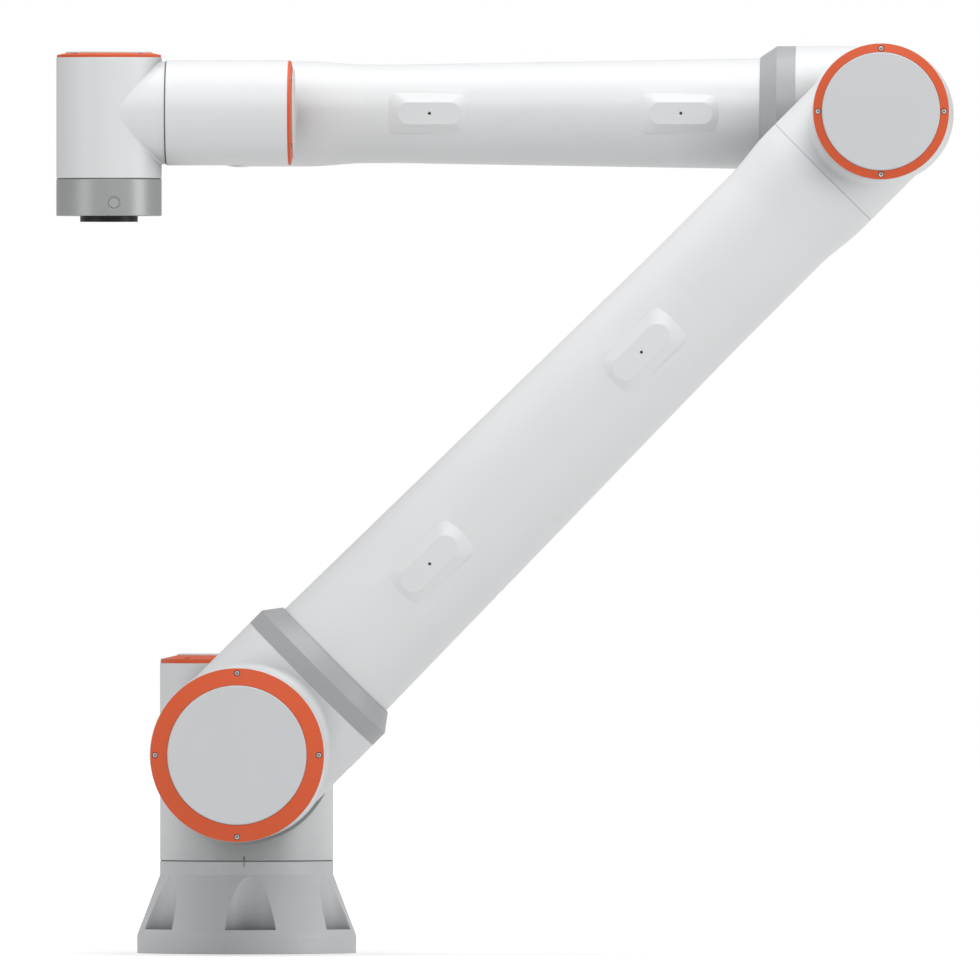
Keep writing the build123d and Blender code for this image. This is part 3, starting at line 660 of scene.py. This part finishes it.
@dataclass
class SeamSeals:
    """Rubber lip seals that fill the seams between the housings, one at each joint."""

    depth: float = 6.0 * MM  # from the lip inwards
    setback: float = 0.7 * MM  # lip inside the housings' outline
    half: float = 0.3 * MM  # half of the lip's width
    steps: int = 120

    def build(self) -> list[bpy.types.Object]:
        """Build the six seals.

        Returns:
            The seals, each on the body that holds the motor.
        """
        seals = []
        for joint in JOINTS:
            lip = joint.shell - self.setback
            root, shoulder = lip - self.depth, lip - self.half
            profile = [
                (root, -self.half), (shoulder, -self.half), (lip, 0),
                (shoulder, self.half), (root, self.half),
            ]
            mesh = lathe(profile, joint.matrix(), self.steps)
            name = f"seam_seal_{joint.number}"
            seals.append(mesh_piece(name, mesh, SEAL_RUBBER, joint.holder))
        return seals


@dataclass
class Connector:
    """Screw-on cable connector on a round housing: collar, threaded nose, insert and pins."""

    name: str
    node: str
    body: str
    centre: Point  # on the housing's axis, at the connector's height
    reach: float  # from there to where the collar sits
    bearing: float  # degrees about the housing's axis
    nose: float  # radius
    nose_length: float
    collar: float  # radius
    collar_length: float
    tail: float  # length inside the housing
    pins: int
    bore_share: float = 0.78  # bore to the nose's radius
    bevel_share: float = 0.06  # bevels to the nose's radius
    insert_share: float = 0.9  # insert to the bore's radius
    insert_drop: float = 0.35  # insert's face below the rim, to the nose's length
    pitches: int = 7  # thread pitches that the nose's length would hold
    thread_turns: float = 5.0
    pin_circle_share: float = 0.58  # pins' circle to the bore's radius
    pin_share: float = 0.055  # pin's radius to the nose's
    pin_length_share: float = 0.5  # pin's length to the nose's
    pin_drop: float = 0.38  # pin's middle below the rim, to the nose's length

    def matrix(self) -> Matrix:
        """Give the connector's frame, its z pointing out of the housing."""
        turn = radians(self.bearing)
        out = Vector((cos(turn), sin(turn), 0))
        return frame_at(Vector(self.centre) + out * self.reach, out)

    def build(self) -> list[bpy.types.Object]:
        """Build the connector's shell, insert, thread and pins.

        Returns:
            The four pieces; the shell stands for the frame's solid.
        """
        made = [
            mesh_piece(f"{self.name}_{part}", mesh, finish, self.body)
            for part, mesh, finish in (
                ("shell", self.shell(), NICKEL),
                ("insert", self.insert(), NYLON),
                ("thread", self.thread(), NICKEL),
                ("pins", self.pin_ring(), GOLD),
            )
        ]
        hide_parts(self.node)
        return made

    def shell(self) -> bpy.types.Mesh:
        """Turn the shell: tail, collar and hollow nose in one.

        Returns:
            Its mesh.
        """
        nose, collar, base = self.nose, self.collar, self.collar_length
        top = base + self.nose_length
        bevel, bore = nose * self.bevel_share, nose * self.bore_share
        profile = [
            (0, -self.tail), (nose, -self.tail), (nose, 0), (collar - bevel, 0), (collar, bevel),
            (collar, base - bevel), (collar - bevel, base), (nose - bevel, base),
            (nose - bevel, top - bevel), (nose - 2 * bevel, top), (bore, top), (bore, base),
            (0, base),
        ]
        return lathe(profile, self.matrix())

    def insert(self) -> bpy.types.Mesh:
        """Turn the insert that holds the pins.

        Returns:
            Its mesh.
        """
        radius = self.nose * self.bore_share * self.insert_share
        face = self.collar_length + self.nose_length - self.nose_length * self.insert_drop
        base = self.collar_length
        return lathe([(0, base), (radius, base), (radius, face), (0, face)], self.matrix())

    def thread(self) -> bpy.types.Mesh:
        """Wind the nose's thread.

        Returns:
            Its mesh.
        """
        bevel, pitch = self.nose * self.bevel_share, self.nose_length / self.pitches
        thread = run_tree(
            bpy.data.node_groups.get("screw_thread") or thread_tree(NICKEL),
            {
                "Radius": self.nose - bevel, "Pitch": pitch, "Turns": self.thread_turns,
                "Ridge": bevel,
            },
        )
        start = self.collar_length + pitch
        thread.transform(self.matrix() @ Matrix.Translation((0, 0, start)))
        return thread

    def pin_ring(self) -> bpy.types.Mesh:
        """Stand the pins in the insert.

        Returns:
            Their mesh.
        """
        pins = run_tree(
            bpy.data.node_groups.get("ring_of_rods") or ring_of_rods_tree(GOLD),
            {
                "Count": self.pins,
                "Circle Radius": self.nose * self.bore_share * self.pin_circle_share,
                "Rod Radius": self.nose * self.pin_share,
                "Rod Length": self.nose_length * self.pin_length_share,
            },
        )
        middle = self.collar_length + self.nose_length - self.nose_length * self.pin_drop
        pins.transform(self.matrix() @ Matrix.Translation((0, 0, middle)))
        return pins


@dataclass(frozen=True)
class Softbox:
    """A rectangular lamp of the studio."""

    name: str
    place: Point
    target: Point  # point that it faces
    size: tuple[float, float]  # width and height
    power: float  # watts

    def build(self) -> None:
        """Add the lamp, turned to its target."""
        data = bpy.data.lights.new(self.name, "AREA")
        data.shape = "RECTANGLE"
        data.size, data.size_y = self.size
        data.energy = self.power
        lamp = bpy.data.objects.new(self.name, data)
        bpy.context.scene.collection.objects.link(lamp)
        lamp.location = self.place
        lamp.rotation_mode = "QUATERNION"
        lamp.rotation_quaternion = (
            Vector(self.target) - Vector(self.place)
        ).to_track_quat("-Z", "Y")


@dataclass
class Studio:
    """Plain pale floor, soft lamps, pale surroundings and the camera."""

    softboxes: tuple[Softbox, ...] = (
        Softbox("overhead_softbox", (0.35, -0.3, 3.4), (0.35, -0.2, 0.5), (3.4, 2.6), 64.0),
        Softbox("front_softbox", (0.7, -3.6, 3.3), (0.35, -0.1, 0.5), (3.0, 2.0), 49.0),
        Softbox("left_strip", (-2.9, -2.2, 0.5), (0.0, 0.0, 0.3), (1.8, 2.0), 15.0),
        Softbox("right_strip", (4.0, -1.3, 0.3), (0.0, 0.0, 0.3), (2.4, 2.0), 52.0),
    )
    floor_size: float = 60.0
    floor_colour: str = "#E0E0E0"
    lit_reach: float = 1.3  # the lamps alone nearly light the floor this far out, shadow included
    white_reach: float = 3.9  # from here on the floor's own glow makes it white
    near_glow: float = 0.36
    far_glow: float = 1.0
    sky_light: float = 0.44  # surroundings as light on the arm
    sky_gloss: float = 0.5  # surroundings and floor glow in reflections
    yaw: float = 0.024
    lens: float = 1500.0
    sensor: float = 36.0
    clip: tuple[float, float] = (1.0, 200.0)
    distance: float = 44.75
    aim_right: float = 0.26665
    aim_height: float = 0.5073

    def build(self) -> None:
        """Build the floor, the surroundings, the lamps and the camera."""
        self.build_floor()
        self.build_world()
        for softbox in self.softboxes:
            softbox.build()
        self.build_camera()
        bpy.context.scene.view_settings.view_transform = "Standard"

    def seen(self, tree: Tree) -> Socket:
        """Add the nodes that tell the background seen from the background as light.

        Args:
            tree: a material's or the world's node tree.

        Returns:
            Socket that is 1 for the camera and through glass, sky_gloss in reflections, else 0.
        """
        rays = add(tree, "ShaderNodeLightPath").outputs
        straight = add(
            tree, "ShaderNodeMath", {0: rays["Is Camera Ray"], 1: rays["Is Transmission Ray"]},
            operation="MAXIMUM",
        ).outputs[0]
        mirrored = add(
            tree, "ShaderNodeMath", {0: rays["Is Glossy Ray"], 1: self.sky_gloss},
            operation="MULTIPLY",
        ).outputs[0]
        return add(
            tree, "ShaderNodeMath", {0: straight, 1: mirrored}, operation="MAXIMUM",
        ).outputs[0]

    def build_floor(self) -> None:
        """Build the floor: pale, keeps the object's shadow, and shows white further out."""
        half = self.floor_size / 2
        corners = [(-half, -half, 0), (half, -half, 0), (half, half, 0), (-half, half, 0)]
        mesh = bpy.data.meshes.new("floor")
        mesh.from_pydata(corners, [], [(0, 1, 2, 3)])
        material = bpy.data.materials.new("studio_floor_vinyl")
        tree = empty_tree(material)
        matt = add(
            tree, "ShaderNodeBsdfDiffuse", {"Color": linear(self.floor_colour)},
        ).outputs["BSDF"]
        place = add(tree, "ShaderNodeTexCoord").outputs["Object"]
        away = add(
            tree, "ShaderNodeVectorMath", {0: place}, operation="LENGTH",
        ).outputs["Value"]
        lift = add(
            tree, "ShaderNodeMapRange",
            {
                "Value": away, "From Min": self.lit_reach, "From Max": self.white_reach,
                "To Min": self.near_glow, "To Max": self.far_glow,
            },
        ).outputs["Result"]
        glow = add(
            tree, "ShaderNodeMath", {0: self.seen(tree), 1: lift}, operation="MULTIPLY",
        ).outputs[0]
        lit = add(
            tree, "ShaderNodeEmission", {"Color": (1, 1, 1, 1), "Strength": glow},
        ).outputs["Emission"]
        both = add(tree, "ShaderNodeAddShader", {0: matt, 1: lit}).outputs["Shader"]
        add(tree, "ShaderNodeOutputMaterial", {"Surface": both})
        mesh.materials.append(material)
        floor = bpy.data.objects.new("floor", mesh)
        bpy.context.scene.collection.objects.link(floor)

    def build_world(self) -> None:
        """Build the surroundings: white to the camera, softer in reflections and as light."""
        world = bpy.data.worlds.new("studio")
        bpy.context.scene.world = world
        tree = empty_tree(world)
        strength = add(
            tree, "ShaderNodeMath", {0: self.seen(tree), 1: self.sky_light}, operation="MAXIMUM",
        ).outputs[0]
        sky = add(
            tree, "ShaderNodeBackground", {"Color": (1, 1, 1, 1), "Strength": strength},
        ).outputs["Background"]
        add(tree, "ShaderNodeOutputWorld", {"Surface": sky})

    def build_camera(self) -> None:
        """Add the camera: far off with a very long lens, level, a little off square on."""
        data = bpy.data.cameras.new("camera")
        data.lens = self.lens
        data.sensor_width = self.sensor
        data.clip_start, data.clip_end = self.clip
        camera = bpy.data.objects.new("camera", data)
        bpy.context.scene.collection.objects.link(camera)
        ahead = Vector((-sin(self.yaw), cos(self.yaw), 0))
        right = Vector((cos(self.yaw), sin(self.yaw), 0))
        aim = right * self.aim_right + Vector((0, 0, self.aim_height))
        camera.location = aim - ahead * self.distance
        camera.rotation_mode = "QUATERNION"
        camera.rotation_quaternion = ahead.to_track_quat("-Z", "Y")
        bpy.context.scene.camera = camera


def main() -> None:
    logging.basicConfig(level=logging.INFO, format="%(name)s: %(message)s")
    Castings().dress()
    SeamSeals().build()
    Connector(
        name="base_connector", node="base_cable_socket", body="base",
        centre=(0, 0, 0.050), reach=0.114, bearing=63.7,
        nose=14 * MM, nose_length=9 * MM, collar=19 * MM, collar_length=3 * MM,
        tail=20 * MM, pins=12,
    ).build()
    Connector(
        name="tool_plug_connector", node="tool_connector", body="tool_mount",
        centre=(-0.144964, -0.180, 0.820436), reach=0.0563, bearing=97.3,
        nose=5.2 * MM, nose_length=6 * MM, collar=7.5 * MM, collar_length=2.5 * MM,
        tail=8.8 * MM, pins=8,
    ).build()
    Studio().build()


if __name__ == "__main__":
    main()
